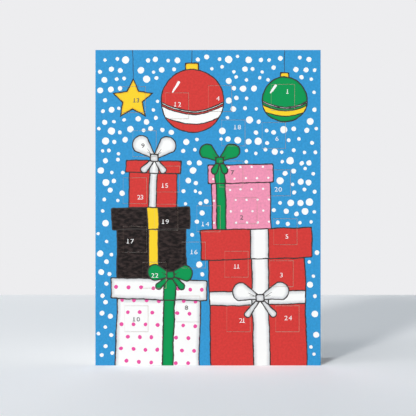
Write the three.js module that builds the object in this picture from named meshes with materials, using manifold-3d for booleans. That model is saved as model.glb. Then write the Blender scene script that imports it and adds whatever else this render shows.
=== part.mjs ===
import * as THREE from 'three';
import { mergeVertices } from 'three/addons/utils/BufferGeometryUtils.js';
import Module from 'manifold-3d';

const wasm = await Module();
wasm.setup();

// An advent calendar card: a folded greeting card that stands open like a book.
// Millimetres, +Z up. The printed front faces -Y, and the plain back leaf swings out behind it.
// The origin lies on the ground, in the middle of the space that the open card takes.

// The card as it is sold, folded shut.
const cardWidth = 150;
const cardHeight = 210;
const boardThickness = 0.45;

// The sheet of little pictures, glued flat behind the front with a bare margin round it.
const sheetThickness = 0.3;
const sheetMargin = 3;

// The fold: how much room is left behind the sheet when the card is shut, and how far it stands open.
const shutClearance = 0.3;
const foldGap = 0.3;
const standingAngle = THREE.MathUtils.degToRad(50);
const foldSteps = 12;

// One door, all twenty-four being alike, and the slit cut along its three free sides.
const doorWidth = 15.5;
const doorHeight = 16.8;
const slitWidth = 0.3;
const cutOverrun = 1;

// Where each door's top left corner lies, for the days 1 to 24 in turn:
// shares of the width from the left edge, and of the height from the foot.
const doorShares = [
  [0.779, 0.890],
  [0.613, 0.530],
  [0.773, 0.331],
  [0.500, 0.886],
  [0.790, 0.464],
  [0.739, 0.769],
  [0.550, 0.647],
  [0.359, 0.219],
  [0.165, 0.743],
  [0.129, 0.188],
  [0.573, 0.361],
  [0.309, 0.863],
  [0.117, 0.883],
  [0.449, 0.505],
  [0.269, 0.631],
  [0.383, 0.390],
  [0.122, 0.440],
  [0.559, 0.777],
  [0.261, 0.510],
  [0.761, 0.619],
  [0.582, 0.188],
  [0.209, 0.326],
  [0.122, 0.594],
  [0.799, 0.188],
];

// The fold bends the board round half a turn when the card is shut, past the sheet and its clearance.
const foldRadius = (2 * boardThickness + sheetThickness + shutClearance) / 2;
const foldInnerRadius = foldRadius - boardThickness;
const foldX = -cardWidth / 2 + foldRadius;
const foldY = foldRadius;
const leafWidth = cardWidth - foldRadius;
const standingDepth = foldY + leafWidth * Math.sin(standingAngle) + foldRadius * Math.cos(standingAngle);

const printBlue = new THREE.MeshStandardMaterial({ color: 0x3e9bd7, roughness: 0.55, metalness: 0 });
const printRed = new THREE.MeshStandardMaterial({ color: 0xd4413e, roughness: 0.55, metalness: 0 });
const pictureWhite = new THREE.MeshStandardMaterial({ color: 0xf6f4ee, roughness: 0.6, metalness: 0 });
const plainWhite = new THREE.MeshStandardMaterial({ color: 0xf4f3f0, roughness: 0.8, metalness: 0 });

// A flat rectangle of card, given by its lower left corner as seen from the front.
// Its thickness runs back from frontY.
function slab(left, bottom, width, height, thickness, frontY) {
  const geometry = new THREE.BoxGeometry(width, thickness, height);
  return geometry.translate(left + width / 2, frontY + thickness / 2, bottom + height / 2);
}

function piece(name, geometry, material) {
  const mesh = new THREE.Mesh(geometry, material.clone());
  mesh.name = name;
  return mesh;
}

// A closed surface as a solid that can be cut, and back again.
function solid(geometry) {
  geometry.deleteAttribute('normal');
  geometry.deleteAttribute('uv');
  const merged = mergeVertices(geometry);
  const vertProperties = merged.attributes.position.array;
  const triVerts = Uint32Array.from(merged.index.array);
  return new wasm.Manifold(new wasm.Mesh({ numProp: 3, vertProperties, triVerts }));
}

function surface(cut) {
  const { vertProperties, triVerts } = cut.getMesh();
  const geometry = new THREE.BufferGeometry();
  geometry.setAttribute('position', new THREE.BufferAttribute(vertProperties, 3));
  geometry.setIndex(new THREE.BufferAttribute(triVerts, 1));
  return geometry;
}

function doorCorner([leftShare, topShare]) {
  const left = -cardWidth / 2 + leftShare * cardWidth;
  const bottom = topShare * cardHeight - doorHeight;
  return { left, bottom };
}

// The front: one board with a window under each door.
// A door meets its window along the crease on the left, and has a slit on its other three sides.
function frontBoard() {
  let board = solid(slab(foldX, 0, leafWidth, cardHeight, boardThickness, 0));
  for (const shares of doorShares) {
    const { left, bottom } = doorCorner(shares);
    const width = doorWidth + slitWidth;
    const height = doorHeight + 2 * slitWidth;
    const depth = boardThickness + 2 * cutOverrun;
    const window = slab(left, bottom - slitWidth, width, height, depth, -cutOverrun);
    board = board.subtract(solid(window));
  }
  return piece('front_board', surface(board), printBlue);
}

function door(shares, day) {
  const { left, bottom } = doorCorner(shares);
  const name = 'door_' + String(day).padStart(2, '0');
  return piece(name, slab(left, bottom, doorWidth, doorHeight, boardThickness, 0), printRed);
}

function pictureSheet() {
  const left = -cardWidth / 2 + sheetMargin;
  const width = cardWidth - 2 * sheetMargin;
  const height = cardHeight - 2 * sheetMargin;
  const sheet = slab(left, sheetMargin, width, height, sheetThickness, boardThickness);
  return piece('picture_sheet', sheet, pictureWhite);
}

// The crease between the two leaves: the same board, bent from the front's edge round to the back leaf's.
function spineFold() {
  const frontSide = 1.5 * Math.PI;
  const leafSide = 0.5 * Math.PI + standingAngle;
  const outline = new THREE.Shape();
  outline.absarc(0, 0, foldRadius, frontSide, leafSide, true);
  outline.absarc(0, 0, foldInnerRadius, leafSide, frontSide, false);
  const geometry = new THREE.ExtrudeGeometry(outline, {
    depth: cardHeight,
    bevelEnabled: false,
    curveSegments: foldSteps,
  });
  const fold = piece('spine_fold', geometry, plainWhite);
  fold.position.set(foldX, foldY, 0);
  return fold;
}

// The back leaf, drawn as it lies when the card is shut and then turned about the fold.
function backLeaf() {
  const leaf = slab(foldGap, 0, leafWidth - foldGap, cardHeight, boardThickness, foldInnerRadius);
  const turned = new THREE.Group();
  turned.position.set(foldX, foldY, 0);
  turned.rotation.z = standingAngle;
  turned.add(piece('back_leaf', leaf, plainWhite));
  return turned;
}

const card = new THREE.Group();
card.position.y = -standingDepth / 2;
card.add(frontBoard(), pictureSheet(), spineFold(), backLeaf());
doorShares.forEach((shares, index) => card.add(door(shares, index + 1)));

export default card;
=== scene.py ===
import math
from collections import namedtuple
import bmesh
import bpy
from mathutils import Matrix, Vector


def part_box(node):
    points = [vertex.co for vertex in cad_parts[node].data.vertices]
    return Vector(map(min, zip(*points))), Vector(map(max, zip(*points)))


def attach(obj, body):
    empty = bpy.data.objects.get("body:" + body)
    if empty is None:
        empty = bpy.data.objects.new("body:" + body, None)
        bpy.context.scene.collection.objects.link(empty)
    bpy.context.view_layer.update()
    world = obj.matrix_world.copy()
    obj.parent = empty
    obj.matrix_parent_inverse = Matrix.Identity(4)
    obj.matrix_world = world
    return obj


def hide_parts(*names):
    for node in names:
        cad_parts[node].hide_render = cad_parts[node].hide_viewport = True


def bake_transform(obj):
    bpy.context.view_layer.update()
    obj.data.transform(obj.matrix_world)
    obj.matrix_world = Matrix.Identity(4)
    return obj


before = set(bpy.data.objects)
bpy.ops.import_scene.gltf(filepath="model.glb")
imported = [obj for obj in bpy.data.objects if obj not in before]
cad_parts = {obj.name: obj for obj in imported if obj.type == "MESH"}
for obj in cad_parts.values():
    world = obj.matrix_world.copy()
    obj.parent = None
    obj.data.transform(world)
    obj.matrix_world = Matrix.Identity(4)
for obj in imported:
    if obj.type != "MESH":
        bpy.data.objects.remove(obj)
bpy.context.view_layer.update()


# The studio: a matt pale table, which ends in a straight edge before a paler wall. A low sun from the
# front left throws the long soft shadow, and a weaker one, high up, the dark one at the card's foot. A
# wide lamp lights the table from the left, and another, low and far behind, lights the card's back.
TABLE_FRONT, TABLE_BACK, TABLE_SIDE = -3.0, 0.671, 3.0
TABLE_SEEN, TABLE_LIT = (0.985, 0.97, 0.965, 1), (0.30, 0.305, 0.31, 1)
WALL, SKY, SKY_STRENGTH = (0.847, 0.847, 0.863, 1), (0.66, 0.82, 1.0, 1), 0.13
Sun = namedtuple("Sun", "strength tint spread height left")  # the last three in degrees
SUNS = {
    "low_sun": Sun(2.3, (1, 1, 1), spread=7, height=15, left=20),
    "high_sun": Sun(0.62, (0.8, 0.92, 1), spread=2.5, height=77, left=18),
}
Lamp = namedtuple("Lamp", "where side power")
LAMPS = {
    "left_lamp": Lamp(Vector((-0.85, -0.8, 1.4)), side=1.2, power=10.1),
    "rear_lamp": Lamp(Vector((-0.3, 2.4, 0.1)), side=1.2, power=60),
}
CAMERA_DISTANCE, CAMERA_HEIGHT, CAMERA_LENS = 0.9, 0.1048, 117


class Wire:
    """A value on its way through a material. Operators add its Math nodes, and node adds any other."""

    tree = None  # the node tree that is being made

    def __init__(self, socket):
        self.socket = socket

    @classmethod
    def node(cls, kind, settings=None, inputs=None, output=0):
        """A new node: its type, its settings, and the values or links of its sockets."""
        made = cls.tree.nodes.new("ShaderNode" + kind)
        for name, value in (settings or {}).items():
            setattr(made, name, value)
        for name, value in (inputs or {}).items():
            if isinstance(value, Wire):
                cls.tree.links.new(value.socket, made.inputs[name])
            else:
                made.inputs[name].default_value = value
        return cls(made.outputs[output] if made.outputs else None)

    @classmethod
    def math(cls, operation, *values, clamp=False):
        return cls.node("Math", {"operation": operation, "use_clamp": clamp}, dict(enumerate(values)))

    def other(self, output):
        """Another output of the node that this value comes from."""
        return Wire(self.socket.node.outputs[output])

    def __add__(self, other):
        return self.math("ADD", self, other)

    __radd__ = __add__

    def __sub__(self, other):
        return self.math("SUBTRACT", self, other)

    def __rsub__(self, other):
        return self.math("SUBTRACT", other, self)

    def __mul__(self, other):
        return self.math("MULTIPLY", self, other)

    __rmul__ = __mul__

    def __truediv__(self, other):
        return self.math("DIVIDE", self, other)

    def __abs__(self):
        return self.math("ABSOLUTE", self)

    def share(self, factor, plus):
        """factor times this plus a number, held between 0 and 1."""
        return self.math("MULTIPLY_ADD", self, factor, plus, clamp=True)


def begin(name, kind=bpy.data.materials):
    """A new material, or the world, whose nodes are then added through Wire."""
    made = kind.new(name)
    made.use_nodes = True
    made.node_tree.nodes.clear()
    Wire.tree = made.node_tree
    return made


def plane(name, left, right, near, far, height):
    """A level rectangle of the studio's own."""
    bm = bmesh.new()
    bmesh.ops.create_grid(bm, x_segments=1, y_segments=1, size=0.5)
    bmesh.ops.scale(bm, vec=(right - left, far - near, 1), verts=bm.verts)
    bmesh.ops.translate(bm, vec=((left + right) / 2, (near + far) / 2, height), verts=bm.verts)
    mesh = bpy.data.meshes.new(name)
    bm.to_mesh(mesh)
    bm.free()
    made = bpy.data.objects.new(name, mesh)
    bpy.context.scene.collection.objects.link(made)
    return made


def shown_to_camera(seen, lit):
    """One shader for what the camera and mirrors see, and another for the light that it gives."""
    path = Wire.node("LightPath", {}, {}, "Is Camera Ray")
    seen_directly = Wire.math("MAXIMUM", path, path.other("Is Glossy Ray"))
    return Wire.node("MixShader", {}, {0: seen_directly, 1: lit, 2: seen})


table = plane("table", -TABLE_SIDE, TABLE_SIDE, TABLE_FRONT, TABLE_BACK, 0)
table.data.materials.append(begin("table_top"))
seen = Wire.node("BsdfDiffuse", {}, {"Color": TABLE_SEEN})
lit = Wire.node("BsdfDiffuse", {}, {"Color": TABLE_LIT})
Wire.node("OutputMaterial", {}, {"Surface": shown_to_camera(seen, lit)})

bpy.context.scene.world = begin("studio", bpy.data.worlds)
seen = Wire.node("Background", {}, {"Color": WALL})
lit = Wire.node("Background", {}, {"Color": SKY, "Strength": SKY_STRENGTH})
Wire.node("OutputWorld", {}, {"Surface": shown_to_camera(seen, lit)})


def place(name, data, location, rotation):
    """Puts a light or the camera in its place."""
    made = bpy.data.objects.new(name, data)
    made.location, made.rotation_euler = location, rotation
    bpy.context.scene.collection.objects.link(made)
    return made


for name, sun in SUNS.items():
    light = bpy.data.lights.new(name, "SUN")
    light.energy, light.color, light.angle = sun.strength, sun.tint, math.radians(sun.spread)
    place(name, light, (0, 0, 0), (math.pi / 2 - math.radians(sun.height), 0, -math.radians(sun.left)))

for name, lamp in LAMPS.items():
    light = bpy.data.lights.new(name, "AREA")
    light.energy, light.size = lamp.power, lamp.side
    place(name, light, lamp.where, lamp.where.to_track_quat("Z", "Y").to_euler())

camera = bpy.data.cameras.new("camera")
camera.lens = CAMERA_LENS
printed_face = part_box("front_board")[0].y
eye = place("camera", camera, (0, printed_face - CAMERA_DISTANCE, CAMERA_HEIGHT), (math.pi / 2, 0, 0))
bpy.context.scene.camera = eye
bpy.context.scene.view_settings.view_transform = "Standard"


# The board itself, where no ink covers it: the reverse of the front, the back leaf and every cut edge.
# It is white folding boxboard with a faint fibre grain, uncoated and quite matt.
MM = 0.001
FIBRE, FIBRE_DETAIL, FIBRE_LENGTH_SHARE, FIBRE_RISE, CLOUD = 2.2, 4, 0.35, 0.01 * MM, 0.06
BOARD_WHITE, BOARD_SHADE = (0.86, 0.855, 0.84, 1), (0.80, 0.79, 0.77, 1)
BOARD_ROUGHNESS, FIBRE_ROUGHNESS, BOARD_SHINE = 0.72, 0.15, 0.35


def mix(amount, first, second):
    """The first colour, gone over to the second by amount."""
    return Wire.node("Mix", {"data_type": "RGBA"}, {0: amount, 6: first, 7: second}, 2)


def noise(where, scale, detail=2, dimensions="3D"):
    return Wire.node(
        "TexNoise", {"noise_dimensions": dimensions}, {"Vector": where, "Scale": scale, "Detail": detail}
    )


def surface(**sockets):
    """Closes the material with one shader, whose sockets are named with _ for a space."""
    inputs = {name.replace("_", " "): value for name, value in sockets.items()}
    Wire.node("OutputMaterial", {}, {"Surface": Wire.node("BsdfPrincipled", {}, inputs)})


def bumps(height, depth):
    """A normal for a surface that rises by depth where height is 1."""
    return Wire.node("Bump", {}, {"Height": height, "Distance": depth, "Strength": 1})


plain_board = begin("plain_board")
point = Wire.node("TexCoord", {}, {}, "Object")
stretch = {"Vector": point, "Scale": (FIBRE_LENGTH_SHARE / MM, 1 / MM, 1 / MM)}
fibres = noise(Wire.node("Mapping", {}, stretch), FIBRE, FIBRE_DETAIL)
clouds = noise(point, CLOUD / MM)
surface(
    Base_Color=mix(fibres * 0.5 + clouds * 0.5, BOARD_SHADE, BOARD_WHITE),
    Roughness=BOARD_ROUGHNESS + fibres * FIBRE_ROUGHNESS,
    Specular_IOR_Level=BOARD_SHINE,
    Normal=bumps(fibres, FIBRE_RISE),
)


# The printed picture: a heap of wrapped presents under three hanging ornaments, in falling snow.
# It is drawn in flat inks with a dark wavering pen line, and every size is in millimetres on the card,
# from the middle of its foot. The last shape drawn lies on top.
board_low, board_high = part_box("front_board")
SIDE, TOP = board_high.x / MM, board_high.z / MM
PEN, PEN_UNEVEN, INK_EDGE, CORNER = 0.39, 0.24, 0.06, 1.6
DRIFT, DRIFT_SCALE, SHAKE, SHAKE_SCALE = 1.8, 0.045, 0.5, 0.28
GRAIN_SCALE, GRAIN_DETAIL, GRAIN_SHARE = 2.2, 3, 0.7
MOTTLE_SCALE, MOTTLE_CONTRAST, MOTTLE_START = 0.7, 2.5, -0.75
STROKE_SCALE, STROKE_DETAIL, STROKE_LENGTH_SHARE, STROKE_SLANT = 0.6, 5, 0.45, math.radians(-38)
STROKE_CONTRAST, STROKE_START = 3, -1.5
PENCIL_WIDTHS = {"white": 2.6, "yellow": 1.0, "green": 1.2, "cap": 1.2, "star": 1.4}
PENCIL_START, LAID_SHARES = -0.42, (0.93, 1.07)
INK_ROUGHNESS, GRAIN_ROUGHNESS, GRAIN_RISE, INK_SHINE = 0.46, 0.16, 0.004 * MM, 0.1


def colour(red, green, blue):
    """A colour picked on screen, from 0 to 255, as the linear values that a shader takes."""
    parts = [c / 255 for c in (red, green, blue)]
    return (*(p / 12.92 if p <= 0.04045 else ((p + 0.055) / 1.055) ** 2.4 for p in parts), 1)


INK_BLUE, INK_RED = colour(53, 152, 209), colour(214, 60, 56)
INK_WHITE, INK_PENCIL, INK_LINE = colour(254, 253, 250), colour(202, 203, 205), colour(56, 52, 50)
INK_COAL, INK_CHALK = colour(8, 2, 2), colour(58, 46, 44)
INK_YELLOW, INK_AMBER = colour(253, 214, 46), colour(240, 176, 40)
INK_GREEN, INK_FOREST = colour(0, 150, 80), colour(0, 112, 62)
INK_PINK, INK_ROSE = colour(243, 150, 180), colour(237, 82, 160)


def away(u, v):
    """The distance of a point from where u and v are both zero."""
    joined = Wire.node("CombineXYZ", {}, {0: u, 1: v})
    return Wire.node("VectorMath", {"operation": "LENGTH"}, {0: joined}, 1)


def turned(u, v, foot, lean):
    """Coordinates from a thing's own foot, with the thing leaning some degrees to the right."""
    cos, sin = math.cos(math.radians(lean)), math.sin(math.radians(lean))
    u, v = u - foot[0], v - foot[1]
    return u * cos - v * sin, u * sin + v * cos


def block(u, v, centre, size):
    """How far a point lies outside a box with slightly rounded corners."""
    across = abs(u - centre[0]) - size[0] / 2
    up = abs(v - centre[1]) - size[1] / 2
    return Wire.math("SMOOTH_MAX", across, up, CORNER)


def drop(u, v, start, end, thin, fat):
    """How far a point lies outside a stroke that swells from thin at its start to fat at its end."""
    run, rise = end[0] - start[0], end[1] - start[1]
    squared = run * run + rise * rise
    u, v = u - start[0], v - start[1]
    along = (u * (run / squared) + v * (rise / squared)).share(1, 0)
    return away(u - along * run, v - along * rise) - (along * (fat - thin) + thin)


def star(u, v, reach, notch):
    """How far a point lies outside a star."""
    turn = math.tau / STAR_POINTS
    angle = Wire.math("ARCTAN2", u, v)
    folded = abs(angle - Wire.math("ROUND", angle / turn) * turn)
    out = away(u, v)
    run, rise = notch * math.cos(turn / 2) - reach, notch * math.sin(turn / 2)
    side = math.hypot(run, rise)
    ahead = out * Wire.math("COSINE", folded) - reach
    return ahead * (rise / side) - out * Wire.math("SINE", folded) * (run / side)


def inside(shape):
    return shape.share(-1 / INK_EDGE, 0.5)


def paint(picture, shape, ink):
    """The picture with one more shape inked on top, and the pen line round it."""
    picture = mix(inside(shape), picture, ink)
    return mix(inside(abs(shape) - pen), picture, INK_LINE)


def pencilled(plain, deep, width):
    """A plain ink with a soft pencilled band inside the outline of the shape."""
    return lambda shape, *where: mix((shape * (-1 / width) + grain).share(1, PENCIL_START), deep, plain)


def laid(ink):
    """A flat ink as it is laid by hand, a little deeper in some places than in others."""
    deep, thin = ((*(min(part * share, 1) for part in ink[:3]), 1) for share in LAID_SHARES)
    return mix(mottle, deep, thin)


def flat(ink):
    return lambda shape, *where: laid(ink)


def chalked(shape, *where):
    """Charcoal paper, rubbed in with slanting strokes that leave some of the ground showing."""
    return mix((strokes * STROKE_CONTRAST + grain).share(1, STROKE_START), INK_COAL, INK_CHALK)


def spotted(ground, spot, step, radius):
    """Wrapping paper with staggered spots."""

    def paper(shape, u, v):
        row = Wire.math("ROUND", v / step)
        shift = Wire.math("PINGPONG", row, 1) * (step / 2)
        across = Wire.math("WRAP", u + shift, -step / 2, step / 2)
        spots = away(across, v - row * step) - radius
        return mix(inside(spots), ground(shape), spot)

    return paper


LOOP_THIN, TAIL_THIN, TAIL_FAT, KNOT = 1.0, 0.8, 2.2, (5.2, 4.6)
CREASE_START_SHARE, CREASE_LINE = 0.26, 0.2
CREASES = ((0.9, 0.62), (-0.7, 0.5))  # how far each strays from the loop's line, and its end's share


def loops(u, v, knot, reach, fat):
    """Both round loops of a bow, as one and its mirror image."""
    return drop(abs(u - knot[0]), v - knot[1], (0, 0), reach, LOOP_THIN, fat)


def bow(picture, u, v, ribbon, knot, reach, fat, tails):
    """A bow of two loops and two short tails."""
    tail = drop(abs(u - knot[0]), v - knot[1], (0, 0), tails, TAIL_THIN, TAIL_FAT)
    picture = paint(picture, tail, ribbon(tail))
    loop = loops(u, v, knot, reach, fat)
    picture = paint(picture, loop, ribbon(loop))
    for stray, end_share in CREASES:
        start = (reach[0] * CREASE_START_SHARE, reach[1] * CREASE_START_SHARE)
        aside = (-reach[1] / math.hypot(*reach) * stray, reach[0] / math.hypot(*reach) * stray)
        end = (reach[0] * end_share + aside[0], reach[1] * end_share + aside[1])
        crease = drop(abs(u - knot[0]), v - knot[1], start, end, CREASE_LINE, CREASE_LINE / 2)
        picture = mix(inside(crease), picture, INK_LINE)
    middle = block(u, v, knot, KNOT)
    return paint(picture, middle, ribbon(middle))


LID_LIFT = 0.5


def present(picture, foot, lean, box, lid, band, paper, ribbon, cross=None, tied=None):
    """A wrapped box with a lid over it, a ribbon up its front, maybe one across, and maybe a bow.
    The band and the cross are each given by their distance from the foot and their width."""
    u, v = turned(x, z, foot, lean)
    body = block(u, v, (0, box[1] / 2), box)
    picture = paint(picture, body, paper(body, u, v))
    if cross:
        strip = abs(v - cross[0]) - cross[1] / 2
        picture = paint(picture, Wire.math("MAXIMUM", strip, body), ribbon(strip))
    strip = abs(u - band[0]) - band[1] / 2
    picture = paint(picture, Wire.math("MAXIMUM", strip, body), ribbon(strip))
    top = block(u, v, (0, box[1] + lid[1] / 2), lid)
    picture = paint(picture, top, paper(top, u, v))
    strip = strip - LID_LIFT
    picture = paint(picture, Wire.math("MAXIMUM", strip, top), ribbon(strip))
    return bow(picture, u, v, ribbon, **tied) if tied else picture


THREAD, BAND_SAG_SHARE = 0.2, 0.28
CAP_PLACE_SHARE, CAP_WIDTH_SHARE, CAP_HEIGHT_SHARE = 1.02, 0.4, 0.36
GLINT_SHARES, GLINT_THIN, GLINT_FAT = ((-0.62, 0.3), (-0.42, 0.6)), 0.5, 0.9


def bauble(picture, middle, radius, ink, bands):
    """A round ornament on a thread from the card's top edge, with a cap and painted bands."""
    u, v = x - middle[0], z - middle[1]
    thread = drop(u, v, (0, radius), (0, TOP), THREAD, THREAD)
    picture = mix(inside(thread), picture, INK_LINE)
    cap_size = (radius * CAP_WIDTH_SHARE, radius * CAP_HEIGHT_SHARE)
    cap = block(u, v, (0, radius * CAP_PLACE_SHARE), cap_size)
    picture = paint(picture, cap, pencilled(INK_YELLOW, INK_AMBER, PENCIL_WIDTHS["cap"])(cap))
    ball = away(u, v) - radius
    picture = paint(picture, ball, ink(ball))
    level = v / radius - u * u * (BAND_SAG_SHARE / radius**2)
    for low, high, band_ink in bands:
        strip = (abs(level - (low + high) / 2) - (high - low) / 2) * radius
        picture = paint(picture, Wire.math("MAXIMUM", strip, ball), band_ink)
    start, end = ((radius * across, radius * up) for across, up in GLINT_SHARES)
    return mix(inside(drop(u, v, start, end, GLINT_THIN, GLINT_FAT)), picture, INK_WHITE)


white_ribbon = pencilled(INK_WHITE, INK_PENCIL, PENCIL_WIDTHS["white"])
yellow_ribbon = pencilled(INK_YELLOW, INK_AMBER, PENCIL_WIDTHS["yellow"])
green_ribbon = pencilled(INK_GREEN, INK_FOREST, PENCIL_WIDTHS["green"])
PRESENTS = (
    dict(
        foot=(-37, 103), lean=1.6, box=(32, 25), lid=(36.8, 8.5), band=(0, 5),
        paper=flat(INK_RED), ribbon=white_ribbon,
        tied=dict(knot=(0, 35.5), reach=(8.5, 8.2), fat=5.8, tails=(6.2, -8.2)),
    ),
    dict(
        foot=(-37, 50), lean=-1.0, box=(46, 41), lid=(52, 14), band=(1, 6.5),
        paper=chalked, ribbon=yellow_ribbon,
    ),
    dict(
        foot=(22.5, 88), lean=-1.2, box=(39, 33.5), lid=(43.4, 12), band=(-13.5, 6),
        paper=spotted(flat(INK_PINK), INK_WHITE, 7.3, 0.75), ribbon=green_ribbon,
        tied=dict(knot=(-13.5, 48.5), reach=(8.2, 6.4), fat=5.0, tails=(3.6, -6.6)),
    ),
    dict(
        foot=(34, -6), lean=-1.2, box=(64, 77), lid=(74, 20), band=(2, 11), cross=(51, 9),
        paper=flat(INK_RED), ribbon=white_ribbon,
        tied=dict(knot=(2, 51), reach=(13, 4.4), fat=5.8, tails=(8.6, -11)),
    ),
    dict(
        foot=(-34, -6), lean=1.5, box=(56, 50), lid=(64, 13.5), band=(7, 7),
        paper=spotted(white_ribbon, INK_ROSE, 8.2, 1.3), ribbon=green_ribbon,
        tied=dict(knot=(7, 66.5), reach=(10, 1.2), fat=5.2, tails=(7.4, -7.4)),
    ),
)
BAUBLES = (
    dict(
        middle=(-10.5, 176), radius=21, ink=flat(INK_RED),
        bands=((-0.72, -0.42, INK_WHITE), (-0.36, -0.31, INK_WHITE)),
    ),
    dict(
        middle=(51, 177), radius=15, ink=green_ribbon,
        bands=((-0.75, -0.5, INK_YELLOW), (-0.4, -0.34, INK_WHITE)),
    ),
)
STAR, STAR_POINTS, STAR_REACH, STAR_NOTCH = (-50, 177), 5, 13.5, 6.6

printed_picture = begin("printed_picture")
card = Wire.node("UVMap", {"uv_map": "print"})
drift = Wire.node("SeparateXYZ", {}, {0: noise(card, DRIFT_SCALE, 1, "2D").other("Color")})
shake = Wire.node("SeparateXYZ", {}, {0: noise(card, SHAKE_SCALE, 1, "2D").other("Color")})
straight = Wire.node("SeparateXYZ", {}, {0: card})
snow_x = straight + (shake - 0.5) * SHAKE
snow_z = straight.other("Y") + (shake.other("Y") - 0.5) * SHAKE
x = snow_x + (drift - 0.5) * DRIFT
z = snow_z + (drift.other("Y") - 0.5) * DRIFT
grain = noise(card, GRAIN_SCALE, GRAIN_DETAIL, "2D") * GRAIN_SHARE
mottle = noise(card, MOTTLE_SCALE, GRAIN_DETAIL, "2D").share(MOTTLE_CONTRAST, MOTTLE_START)
slant = {"Vector": card, "Rotation": (0, 0, STROKE_SLANT), "Scale": (STROKE_LENGTH_SHARE, 1, 1)}
strokes = noise(Wire.node("Mapping", {}, slant), STROKE_SCALE, STROKE_DETAIL, "2D")
pen = shake.other("Z") * PEN_UNEVEN + (PEN - PEN_UNEVEN / 2)

# The snow: one round flake in each cell of a staggered grid, at a chance place, where it keeps clear
# of all else.
SNOW_STEP, SNOW_LEAST, SNOW_MORE, SNOW_APART, SNOW_GAP = 6.8, 1.1, 1.4, 0.35, 0.75
NUMBER_SHARES = {
    1: (0.71, 0.73), 2: (0.35, 0.24), 3: (0.51, 0.44), 4: (0.43, 0.50),
    5: (0.58, 0.31), 6: (0.65, 0.37), 7: (0.57, 0.56), 8: (0.44, 0.55),
    9: (0.45, 0.42), 10: (0.51, 0.48), 11: (0.52, 0.41), 12: (0.54, 0.56),
    13: (0.62, 0.47), 14: (0.38, 0.29), 15: (0.38, 0.24), 16: (0.53, 0.62),
    17: (0.32, 0.42), 18: (0.69, 0.73), 19: (0.48, 0.32), 20: (0.49, 0.24),
    21: (0.67, 0.43), 22: (0.53, 0.49), 23: (0.75, 0.24), 24: (0.55, 0.53),
}
SKY_DAYS, SKY_NUMBER = (6, 14, 16, 18, 20), (6.2, 3)  # numbers on the snowy ground, and the room for one


def number_place(day):
    """Where the middle of a day's number lies, across and up the card."""
    low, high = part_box(f"door_{day:02d}")
    across, up = NUMBER_SHARES[day]
    return low.x + across * (high.x - low.x), low.z + up * (high.z - low.z)


row = Wire.math("ROUND", snow_z / SNOW_STEP)
shift = Wire.math("PINGPONG", row, 1) * (SNOW_STEP / 2)
column = Wire.math("ROUND", (snow_x + shift) / SNOW_STEP)
cell = Wire.node("CombineXYZ", {}, {0: column, 1: row})
chance = Wire.node("TexWhiteNoise", {"noise_dimensions": "2D"}, {"Vector": cell}, "Color")
chance = Wire.node("SeparateXYZ", {}, {0: chance})
flake_radius = chance.other("Z") * chance.other("Z") * SNOW_MORE + SNOW_LEAST
room = SNOW_STEP - 2 * SNOW_APART - flake_radius * 2
across = column * SNOW_STEP - shift + (chance - 0.5) * room
up = row * SNOW_STEP + (chance.other("Y") - 0.5) * room
flake = away(snow_x - across, snow_z - up) - flake_radius

clear = Wire.math("MINIMUM", SIDE - abs(across), TOP / 2 - abs(up - TOP / 2))
for form in PRESENTS:
    u, v = turned(across, up, form["foot"], form["lean"])
    width, height = form["box"]
    lid_height = form["lid"][1]
    clear = Wire.math("MINIMUM", clear, block(u, v, (0, height / 2), (width, height)))
    clear = Wire.math("MINIMUM", clear, block(u, v, (0, height + lid_height / 2), form["lid"]))
    if "tied" in form:
        knot, reach, fat, tails = form["tied"].values()
        clear = Wire.math("MINIMUM", clear, loops(u, v, knot, reach, fat))
for form in BAUBLES:
    ball_x, ball_z = form["middle"]
    clear = Wire.math("MINIMUM", clear, away(across - ball_x, up - ball_z) - form["radius"])
for hung_x, hung_z in (BAUBLES[0]["middle"], BAUBLES[1]["middle"], STAR):
    thread = block(across, up, (hung_x, (hung_z + TOP) / 2), (THREAD * 2, TOP - hung_z))
    clear = Wire.math("MINIMUM", clear, thread)
clear = Wire.math("MINIMUM", clear, star(across - STAR[0], up - STAR[1], STAR_REACH, STAR_NOTCH))
for day in SKY_DAYS:
    number_x, number_z = number_place(day)
    clear = Wire.math("MINIMUM", clear, block(across, up, (number_x / MM, number_z / MM), SKY_NUMBER))
flake = flake + Wire.math("LESS_THAN", clear - flake_radius, SNOW_GAP) * SNOW_STEP
picture = mix(inside(flake), laid(INK_BLUE), INK_WHITE)

for form in BAUBLES:
    picture = bauble(picture, **form)
string = drop(x, z, STAR, (STAR[0], TOP + STAR_REACH), THREAD, THREAD)
picture = mix(inside(string), picture, INK_LINE)
tinsel = star(x - STAR[0], z - STAR[1], STAR_REACH, STAR_NOTCH)
picture = paint(picture, tinsel, pencilled(INK_YELLOW, INK_AMBER, PENCIL_WIDTHS["star"])(tinsel))
for form in PRESENTS:
    picture = present(picture, **form)

# Where a cut or a crease has worn the ink, the board shows through it, and least through the black.
WORN_INK, WORN_LEAST, WORN_MORE = colour(205, 180, 156), 0.65, 0.8
THIN_CONTRAST, THIN_LEAST = 6, 0.15
score = Wire.node("Attribute", {"attribute_name": "score"}, {}, "Fac")
thinness = Wire.node("RGBToBW", {}, {"Color": picture}).share(THIN_CONTRAST, THIN_LEAST)
picture = mix(score * (grain * WORN_MORE + WORN_LEAST) * thinness, picture, WORN_INK)
surface(
    Base_Color=picture,
    Roughness=INK_ROUGHNESS + grain * GRAIN_ROUGHNESS,
    Specular_IOR_Level=INK_SHINE,
    Normal=bumps(grain, GRAIN_RISE),
)


# The front: one board with twenty-four windows. Its face carries the picture, which runs off all its
# edges, and the die that cut it pressed every cut edge a little round.
PRESSED, PRESSED_STEPS, PRESSED_BACK_SHARE = 0.12 * MM, 2, 0.2
UPRIGHT_MARK_SHARE, LOOKS_UP, LOOKS_AHEAD, SQUARE_ON = 0.3, 0.3, -0.2, 0.9
RIM, WELD, FLAT = 1 * MM, 0.001 * MM, math.radians(1)


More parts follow.
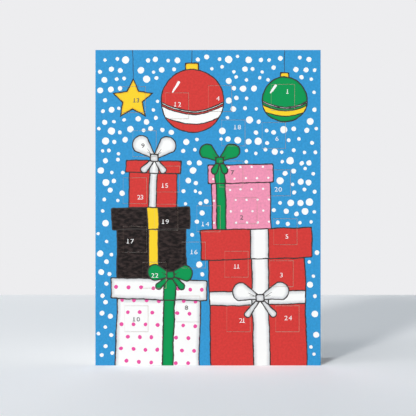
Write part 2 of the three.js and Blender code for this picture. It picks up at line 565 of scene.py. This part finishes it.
def ink_on(bm, worn=lambda vert: False):
    """Lays the picture over the faces that look forward, and marks the corners where its ink is worn."""
    bm.normal_update()
    print_map = bm.loops.layers.uv.new("print")
    score = bm.verts.layers.float.new("score")
    for vert in bm.verts:
        level = abs(vert.normal.z) > LOOKS_UP
        # The pale worn mark is laid at full strength on level edges and at a lesser share on upright ones.
        vert[score] = worn(vert) * (1 if level else UPRIGHT_MARK_SHARE)
    for face in bm.faces:
        face.material_index = 0 if face.normal.y < LOOKS_AHEAD else 1
        for loop in face.loops:
            loop[print_map].uv = (loop.vert.co.x / MM, loop.vert.co.z / MM)


def pressed_back(vert):
    """Whether the die pressed this corner back from the printed face."""
    return vert.co.y > board_low.y + PRESSED * PRESSED_BACK_SHARE


def piece(name, bm, *materials):
    """Closes a mesh that was made in place, and puts it in the scene with its materials."""
    mesh = bpy.data.meshes.new(name)
    bm.to_mesh(mesh)
    bm.free()
    for material in materials:
        mesh.materials.append(material)
    made = bpy.data.objects.new(name, mesh)
    bpy.context.scene.collection.objects.link(made)
    return made


def press(bm, edges):
    """Rounds the edges that the die pressed."""
    bmesh.ops.bevel(
        bm, geom=edges, offset=PRESSED, affect="EDGES", segments=PRESSED_STEPS, profile=0.5, material=-1
    )


def between(edge, first, second):
    """Whether the edge lies between a face that looks one way and a face that passes a test."""
    if len(edge.link_faces) != 2:
        return False
    one, two = (face.normal for face in edge.link_faces)
    return one.dot(first) > SQUARE_ON and second(two) or two.dot(first) > SQUARE_ON and second(one)


board = bmesh.new()
board.from_mesh(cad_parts["front_board"].data)
bmesh.ops.remove_doubles(board, verts=board.verts, dist=WELD)
bmesh.ops.dissolve_limit(board, angle_limit=FLAT, verts=board.verts, edges=board.edges)
ahead = Vector((0, -1, 0))


def cut_side(edge):
    """A test of whether the wall beside an edge was cut by the die, and isn't a crease or the fold."""
    middle = (edge.verts[0].co.x + edge.verts[1].co.x) / 2
    at_right, at_left = middle > board_high.x - PRESSED, middle < board_low.x + PRESSED

    def cut(wall):
        slit_side = wall.x < -SQUARE_ON and not at_left
        right_side = wall.x > SQUARE_ON and at_right
        return abs(wall.z) > SQUARE_ON or slit_side or right_side

    return cut


def within(vert):
    """Whether a corner lies at a window, rather than at the board's own edge."""
    across, up = vert.co.x, vert.co.z
    clear_of_sides = board_low.x + RIM < across < board_high.x - RIM
    return clear_of_sides and board_low.z + RIM < up < board_high.z - RIM


press(board, [edge for edge in board.edges if between(edge, ahead, cut_side(edge))])
ink_on(board, lambda vert: pressed_back(vert) and within(vert))

# The map that the picture is kept on gives most of its room to the printed face, and the rest to the
# bare sides.
BARE_PLACE_SHARE, BARE_SIZE_SHARE = 0.73, 0.35
bake_map = board.loops.layers.uv.new("OFBake")
for face in board.faces:
    for loop in face.loops:
        from_left, up = (loop.vert.co.x - board_low.x) / board_high.z, loop.vert.co.z / board_high.z
        if face.material_index == 1:
            deep = (loop.vert.co.y - board_low.y) / board_high.z
            from_left = BARE_PLACE_SHARE + (from_left + deep) * BARE_SIZE_SHARE
            up = (up + deep) * BARE_SIZE_SHARE
        loop[bake_map].uv = (from_left, up)

front_leaf = piece("front_leaf", board, printed_picture, plain_board)
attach(front_leaf, "front")
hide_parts("front_board")


# The doors: each is a flap of the same board, still joined to the front along the crease at its left.
# There the board was scored, which dented it and cracked its ink, so that it bends in a straight line.
# On its other sides the die left a few nicks uncut, which hold the door shut until it is first opened.
DAYS = range(1, 25)
CREASE, CREASE_STEPS, DENTED, DENT, ON_BEND = 0.6 * MM, 8, slice(1, 4), 0.03 * MM, 0.03 * MM
SLIT, LEVEL_SLIT, UPRIGHT_SLIT = 0.3 * MM, 0.11 * MM, 0.05 * MM
NICK, NICK_ROOT, NICK_GAP, NICK_SHARES = 0.45 * MM, 0.2 * MM, 0.01 * MM, (0.25, 0.75)


def nick(flap, side, low, high):
    """One uncut nick, which bridges the slit at the middle of one side of the box from low to high."""
    reach = (NICK_ROOT + (UPRIGHT_SLIT if side.x else LEVEL_SLIT) - NICK_GAP) / 2
    size = Vector((NICK, high.y - low.y, NICK))
    middle = (low + high) / 2
    for axis in (0, 2):
        if side[axis]:
            size[axis] = reach * 2
            middle[axis] += side[axis] * ((high[axis] - low[axis]) / 2 - NICK_ROOT + reach)
    bmesh.ops.create_cube(flap, size=1, matrix=Matrix.Translation(middle) @ Matrix.Diagonal((*size, 1)))


wider, taller = Vector((SLIT - UPRIGHT_SLIT, 0, 0)), Vector((0, 0, SLIT - LEVEL_SLIT))
for day in DAYS:
    low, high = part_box(f"door_{day:02d}")
    low, high = low - taller, high + taller + wider
    flap = bmesh.new()
    bmesh.ops.create_cube(flap, size=1)
    bmesh.ops.scale(flap, vec=high - low, verts=flap.verts)
    bmesh.ops.translate(flap, vec=(low + high) / 2, verts=flap.verts)
    press(flap, [edge for edge in flap.edges if between(edge, ahead, lambda wall: wall.x > -SQUARE_ON)])
    bends = [low.x + CREASE * step / CREASE_STEPS for step in range(1, CREASE_STEPS + 1)]
    for bend in bends:
        parts = flap.verts[:] + flap.edges[:] + flap.faces[:]
        bmesh.ops.bisect_plane(flap, geom=parts, plane_co=(bend, 0, 0), plane_no=(1, 0, 0))
    for vert in flap.verts:
        dented = any(abs(vert.co.x - bend) < ON_BEND for bend in bends[DENTED])
        if dented and not pressed_back(vert):
            vert.co.y += DENT
    for share in NICK_SHARES:
        across, up = (high.x - low.x) * (share - 0.5), (high.z - low.z) * (share - 0.5)
        for side in (Vector((1, 0, 0)), Vector((0, 0, 1)), Vector((0, 0, -1))):
            along = Vector((across, 0, 0)) if side.z else Vector((0, 0, up))
            nick(flap, side, low + along, high + along)
    ink_on(flap, pressed_back)
    leaf = piece(f"door_leaf_{day:02d}", flap, printed_picture, plain_board)
    low.x + CREASE
    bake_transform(leaf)
    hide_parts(f"door_{day:02d}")


# The numbers of the days: a thin film of ink on each door, white on the strong colours and dark on the
# pale ones. The figures are round and a little bold, the dark ones more so, and each 1 has a foot.
DIGIT_HEIGHT, INK_FILM, WHITE_BOLDER, DARK_BOLDER = 2.9 * MM, 0.02 * MM, -0.005, 0.015
WIDTH_SHARE, GAP_SHARE, FOOT_SHARE, FOOT_HEIGHT_SHARE, STEM_END_SHARE = 1.18, 0.17, 0.2, 0.14, 0.035
DARK_DAYS = {2, 7, 8, 9, 10, 13}
FLECK, FLECK_SHARE, FILM_ROUGHNESS, FLECK_ROUGHNESS, FILM_SHINE = 1.5, 0.12, 0.42, 0.2, 0.3


def film(name, ink, fleck=INK_WHITE):
    """One flat ink, laid a little unevenly."""
    made = begin(name)
    uneven = noise(Wire.node("TexCoord", {}, {}, "Object"), FLECK / MM, GRAIN_DETAIL)
    surface(
        Base_Color=mix(uneven * FLECK_SHARE, ink, fleck),
        Roughness=FILM_ROUGHNESS + uneven * FLECK_ROUGHNESS,
        Specular_IOR_Level=FILM_SHINE,
    )
    return made


def extent(bm):
    """The lowest and highest corners of a mesh."""
    corners = [[vert.co[axis] for vert in bm.verts] for axis in range(3)]
    return Vector(map(min, corners)), Vector(map(max, corners))


def figure(character, bolder):
    """One figure as a flat mesh, one unit high, that stands on zero, and its width."""
    text = bpy.data.curves.new("figure", "FONT")
    text.body, text.offset = character, bolder
    letter = bpy.data.objects.new("figure", text)
    bpy.context.scene.collection.objects.link(letter)
    bpy.context.view_layer.update()
    mesh = bpy.data.meshes.new_from_object(letter.evaluated_get(bpy.context.evaluated_depsgraph_get()))
    bpy.data.objects.remove(letter)
    made = bmesh.new()
    made.from_mesh(mesh)
    low, high = extent(made)
    bmesh.ops.translate(made, vec=-low, verts=made.verts)
    size = 1 / (high.y - low.y)
    bmesh.ops.scale(made, vec=(size * WIDTH_SHARE, size, 1), verts=made.verts)
    if character == "1":
        stem = [vert.co.x for vert in made.verts if vert.co.y < STEM_END_SHARE]
        for centre in (min(stem) - FOOT_SHARE / 2, max(stem) + FOOT_SHARE / 2):
            middle = Matrix.Translation((centre, FOOT_HEIGHT_SHARE / 2, 0))
            spread = Matrix.Diagonal((FOOT_SHARE, FOOT_HEIGHT_SHARE, 1, 1))
            bmesh.ops.create_grid(made, x_segments=1, y_segments=1, size=0.5, matrix=middle @ spread)
    low, high = extent(made)
    bmesh.ops.translate(made, vec=(-low.x, 0, 0), verts=made.verts)
    made.to_mesh(mesh)
    made.free()
    return mesh, high.x - low.x


def number(day):
    """A day's figures side by side, centred on zero."""
    made = bmesh.new()
    for character in str(day):
        mesh, width = figures[character, DARK_BOLDER if day in DARK_DAYS else WHITE_BOLDER]
        bmesh.ops.translate(made, vec=(-width - GAP_SHARE, 0, 0), verts=made.verts)
        made.from_mesh(mesh)
    low, high = extent(made)
    bmesh.ops.translate(made, vec=-(low + high) / 2, verts=made.verts)
    return made


figures = {
    (character, bolder): figure(character, bolder)
    for character in "0123456789"
    for bolder in (WHITE_BOLDER, DARK_BOLDER)
}
white_ink, dark_ink = film("white_ink", INK_WHITE, INK_PENCIL), film("dark_ink", INK_LINE)
for day in DAYS:
    digits = number(day)
    across, up = number_place(day)
    upright = Matrix.Rotation(math.pi / 2, 4, "X") @ Matrix.Scale(DIGIT_HEIGHT, 4)
    in_place = Matrix.Translation((across, board_low.y - INK_FILM, up)) @ upright
    bmesh.ops.transform(digits, matrix=in_place, verts=digits.verts)
    number_print = piece(f"number_{day:02d}", digits, dark_ink if day in DARK_DAYS else white_ink)
    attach(number_print, f"door_{day:02d}")


# The sheet behind the front: thin white paper, cut a little smaller than the front all round. It is
# glued on flat, and closes the back of every window.
GLUE = 0.04 * MM
sheet_low, sheet_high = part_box("picture_sheet")
sheet_low.y += GLUE
paper = bmesh.new()
bmesh.ops.create_cube(paper, size=1)
bmesh.ops.scale(paper, vec=sheet_high - sheet_low, verts=paper.verts)
bmesh.ops.translate(paper, vec=(sheet_low + sheet_high) / 2, verts=paper.verts)
picture_sheet = piece("sheet_of_pictures", paper, plain_board)
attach(picture_sheet, "front")
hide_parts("picture_sheet")


# The little pictures: one plain festive thing under each door, printed on the sheet in a few flat inks.
# Each lies on a coloured square that fills its window up to the slits. Sizes are in millimetres.
LAYER, PICTURE_MARGIN = 0.002 * MM, -0.05
PICTURE_INKS = {
    "white": INK_WHITE, "red": INK_RED, "blue": INK_BLUE, "green": INK_GREEN, "yellow": INK_YELLOW,
    "pink": INK_PINK, "cream": colour(250, 240, 214), "night": colour(38, 74, 122), "coal": INK_LINE,
}
STAR_IN, HEART_LOBE, TIP_PLACE, TIP_OUT, TIP_LEAN, TIP_SIZE = 0.48, (1.98, 1.58), 3.9, 1.1, 50, (0.7, 2.4)
Stamp = namedtuple("Stamp", "ink sides middle width height turn notch", defaults=(None, 0, 1))


def around(angle, reach):
    """A place at some distance from the middle, angle degrees on from straight up."""
    return (-math.sin(math.radians(angle)) * reach, math.cos(math.radians(angle)) * reach)


def snowflake_tips():
    """The small arms of a snowflake, two to each of its six large ones."""
    for arm in range(0, 360, 60):
        for lean in (-TIP_LEAN, TIP_LEAN):
            (u, v), (u_out, v_out) = around(arm, TIP_PLACE), around(arm + lean, TIP_OUT)
            yield Stamp("white", 4, (u + u_out, v + v_out), *TIP_SIZE, arm + lean)


MOTIFS = {
    "star": (
        "blue", Stamp("yellow", 10, (0, 0), 11.5, notch=STAR_IN),
        *(Stamp("white", 12, spot, 1.1) for spot in ((-5.4, 5.6), (5.6, -5.2), (5.2, 6), (-5.6, -5.8))),
    ),
    "heart": (
        "pink", Stamp("red", 4, (0, -0.4), 5.6, turn=45),
        *(Stamp("red", 32, (side * HEART_LOBE[0], HEART_LOBE[1]), 5.6) for side in (-1, 1)),
    ),
    "tree": (
        "cream", Stamp("coal", 4, (0, -5.6), 1.6, 2.6),
        *(Stamp("green", 3, (0, up), wide, 6.6) for up, wide in ((-2.2, 10.5), (0.5, 8.7), (3.2, 6.9))),
        Stamp("yellow", 10, (0, 6.5), 2.8, notch=STAR_IN),
    ),
    "bauble": (
        "blue", Stamp("coal", 4, (0, 6.4), 0.4, 5), Stamp("yellow", 4, (0, 4.4), 2.4, 1.8),
        Stamp("red", 40, (0, -0.9), 9.5), Stamp("white", 4, (0, -0.9), 9.2, 1.4),
    ),
    "snowflake": (
        "night", *(Stamp("white", 4, (0, 0), 0.9, 12, arm) for arm in (0, 60, 120)), *snowflake_tips(),
    ),
    "present": (
        "pink", Stamp("white", 4, (0, -2), 9, 7.5), Stamp("red", 4, (0, -2), 1.8, 7.5),
        Stamp("white", 4, (0, 2.4), 10.4, 2.2), Stamp("red", 4, (0, 2.4), 2, 2.2),
        *(Stamp("red", 24, (side * 1.9, 4.8), 3.8, 2.4, side * 25) for side in (-1, 1)),
    ),
    "candle": (
        "green", Stamp("white", 4, (0, -2), 3.4, 8), Stamp("red", 4, (0, -5.6), 7, 1.8),
        Stamp("yellow", 24, (0, 4.4), 2.4, 4.6), Stamp("red", 24, (0, 3.6), 1, 2.2),
    ),
    "bell": (
        "red", Stamp("yellow", 24, (0, -4.2), 2.6), Stamp("yellow", 32, (0, 1.2), 7, 8.4),
        Stamp("yellow", 4, (0, -1.2), 7, 5), Stamp("yellow", 4, (0, -3.4), 9.6, 1.6),
        Stamp("white", 4, (0, -1.6), 7, 0.9),
    ),
    "moon": (
        "night", Stamp("yellow", 40, (-0.4, 0), 10.5), Stamp("night", 40, (2, 1.2), 9),
        Stamp("white", 10, (3, 2.6), 2.6, notch=STAR_IN), Stamp("white", 10, (5.2, -3.4), 2, notch=STAR_IN),
    ),
    "house": (
        "green", Stamp("cream", 4, (0, -2.6), 8.4, 6.6), Stamp("red", 3, (0, 2), 13.4, 7.6),
        Stamp("blue", 4, (-1.8, -1.8), 2, 2), Stamp("coal", 4, (1.8, -3.8), 2.2, 4.2),
    ),
    "mitten": (
        "red", Stamp("white", 24, (-3.6, 0.2), 2.8, 5, 30), Stamp("white", 32, (0.6, 2.6), 6.4, 7),
        Stamp("white", 4, (0.6, -0.2), 6.4, 5.6), Stamp("blue", 4, (0.6, -4.2), 7.4, 2.4),
    ),
    "sweet": (
        "yellow", *(Stamp("red", 3, (side * 4.6, 0), 5.4, 4.6, side * 90) for side in (-1, 1)),
        Stamp("red", 40, (0, 0), 7.4), Stamp("white", 40, (0, 0), 4.8), Stamp("red", 40, (0, 0), 2.2),
    ),
}
DAY_MOTIFS = (
    "bell", "snowflake", "candle", "tree", "star", "sweet", "mitten", "house",
    "moon", "heart", "present", "bauble", "candle", "sweet", "tree", "bell",
    "mitten", "snowflake", "present", "house", "moon", "bauble", "heart", "star",
)


def print_on(bm, stamp, level, middle):
    """Prints one flat shape in front of what is there: an ellipse of many sides, or a polygon of few.
    A notch below 1 draws every other corner in, which makes a star."""
    centre = middle + Vector((stamp.middle[0] * MM, sheet_low.y - level * LAYER, stamp.middle[1] * MM))
    facing = Matrix.Rotation(math.pi / 2, 4, "X") @ Matrix.Rotation(math.radians(stamp.turn), 4, "Z")
    stretch = Matrix.Diagonal((stamp.width * MM, (stamp.height or stamp.width) * MM, 1, 1))
    square = stamp.sides == 4
    upright = Matrix.Rotation(math.pi / 4 if square else math.pi / 2, 4, "Z")
    corners = bmesh.ops.create_circle(
        bm, cap_ends=True, segments=stamp.sides, radius=math.sqrt(0.5) if square else 0.5,
        matrix=Matrix.Translation(centre) @ facing @ stretch @ upright,
    )["verts"]
    for corner in corners[1::2]:
        corner.co = centre.lerp(corner.co, stamp.notch)
    corners[0].link_faces[0].material_index = list(PICTURE_INKS).index(stamp.ink)


prints = bmesh.new()
for day, motif in zip(DAYS, DAY_MOTIFS):
    low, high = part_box(f"door_{day:02d}")
    size = (high - low) / MM + Vector((2, 0, 2)) * PICTURE_MARGIN
    ground, *stamps = MOTIFS[motif]
    window = Vector(((low.x + high.x) / 2, 0, (low.z + high.z) / 2))
    for level, stamp in enumerate([Stamp(ground, 4, (0, 0), size.x, size.z), *stamps], 1):
        print_on(prints, stamp, level, window)
inks = [film(f"{name}_print", ink) for name, ink in PICTURE_INKS.items()]
little_pictures = piece("little_pictures", prints, *inks)
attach(little_pictures, "front")


# The fold at the left: the board bent round from the front's edge to the back leaf's.
# The picture's blue runs a little way round it, up to the score, and the rest is bare board.
STANDING_ANGLE, FOLD_STEPS, PRINT_SHARE = math.radians(50), 24, 0.3
FOLD_SHORT = 0.02 * MM  # at each end, so that the strip hides in the seam when the card is laid open
fold_low, fold_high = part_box("spine_fold")
board_thickness = board_high.y - board_low.y
fold_radius = board_low.x - fold_low.x
axis = Vector((board_low.x, board_low.y + fold_radius, 0))

fold = bmesh.new()
outer = fold.verts.new(axis + Vector((0, -fold_radius, FOLD_SHORT)))
inner = fold.verts.new(axis + Vector((0, board_thickness - fold_radius, FOLD_SHORT)))
fold.edges.new((outer, inner))
raised = bmesh.ops.extrude_edge_only(fold, edges=fold.edges[:])["geom"]
raised_verts = [part for part in raised if isinstance(part, bmesh.types.BMVert)]
bmesh.ops.translate(fold, vec=(0, 0, fold_high.z - 2 * FOLD_SHORT), verts=raised_verts)
turn = STANDING_ANGLE - math.pi
bmesh.ops.spin(
    fold, geom=fold.verts[:] + fold.edges[:] + fold.faces[:], cent=axis, axis=(0, 0, 1), dvec=(0, 0, 0),
    angle=turn, steps=FOLD_STEPS, use_merge=False, use_normal_flip=False, use_duplicate=False,
)
bmesh.ops.recalc_face_normals(fold, faces=fold.faces)
ink_on(fold)
for face in fold.faces:
    middle = face.calc_center_median()
    from_axis = Vector((middle.x - axis.x, middle.y - axis.y, 0))
    outside = from_axis.length > fold_radius - board_thickness / 4
    face.material_index = 0 if outside and from_axis.y < fold_radius * PRINT_SHARE else 1
folded_spine = piece("folded_spine", fold, printed_picture, plain_board)
middle_radius = fold_radius - board_thickness / 2
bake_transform(folded_spine)
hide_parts("spine_fold")


# The back leaf: the same board, bare on both sides, with its cut edges pressed as the front's are. The
# fold alone joins it to the front, and it swings out behind so that the card stands.
LEAF_GAP = 0.02 * MM
leaf_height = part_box("back_leaf")[1].z
leaf_reach = board_high.x - board_low.x - LEAF_GAP
rear = bmesh.new()
bmesh.ops.create_cube(rear, size=1)
bmesh.ops.scale(rear, vec=(leaf_reach, board_thickness, leaf_height), verts=rear.verts)
in_place = axis + Vector((LEAF_GAP + leaf_reach / 2, middle_radius, leaf_height / 2))
bmesh.ops.translate(rear, vec=in_place, verts=rear.verts)
press(rear, [edge for edge in rear.edges if max(vert.co.x for vert in edge.verts) > axis.x + RIM])
bmesh.ops.rotate(rear, cent=axis, matrix=Matrix.Rotation(STANDING_ANGLE, 3, "Z"), verts=rear.verts)
rear_leaf = piece("rear_leaf", rear, plain_board)
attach(rear_leaf, "back")
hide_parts("back_leaf")
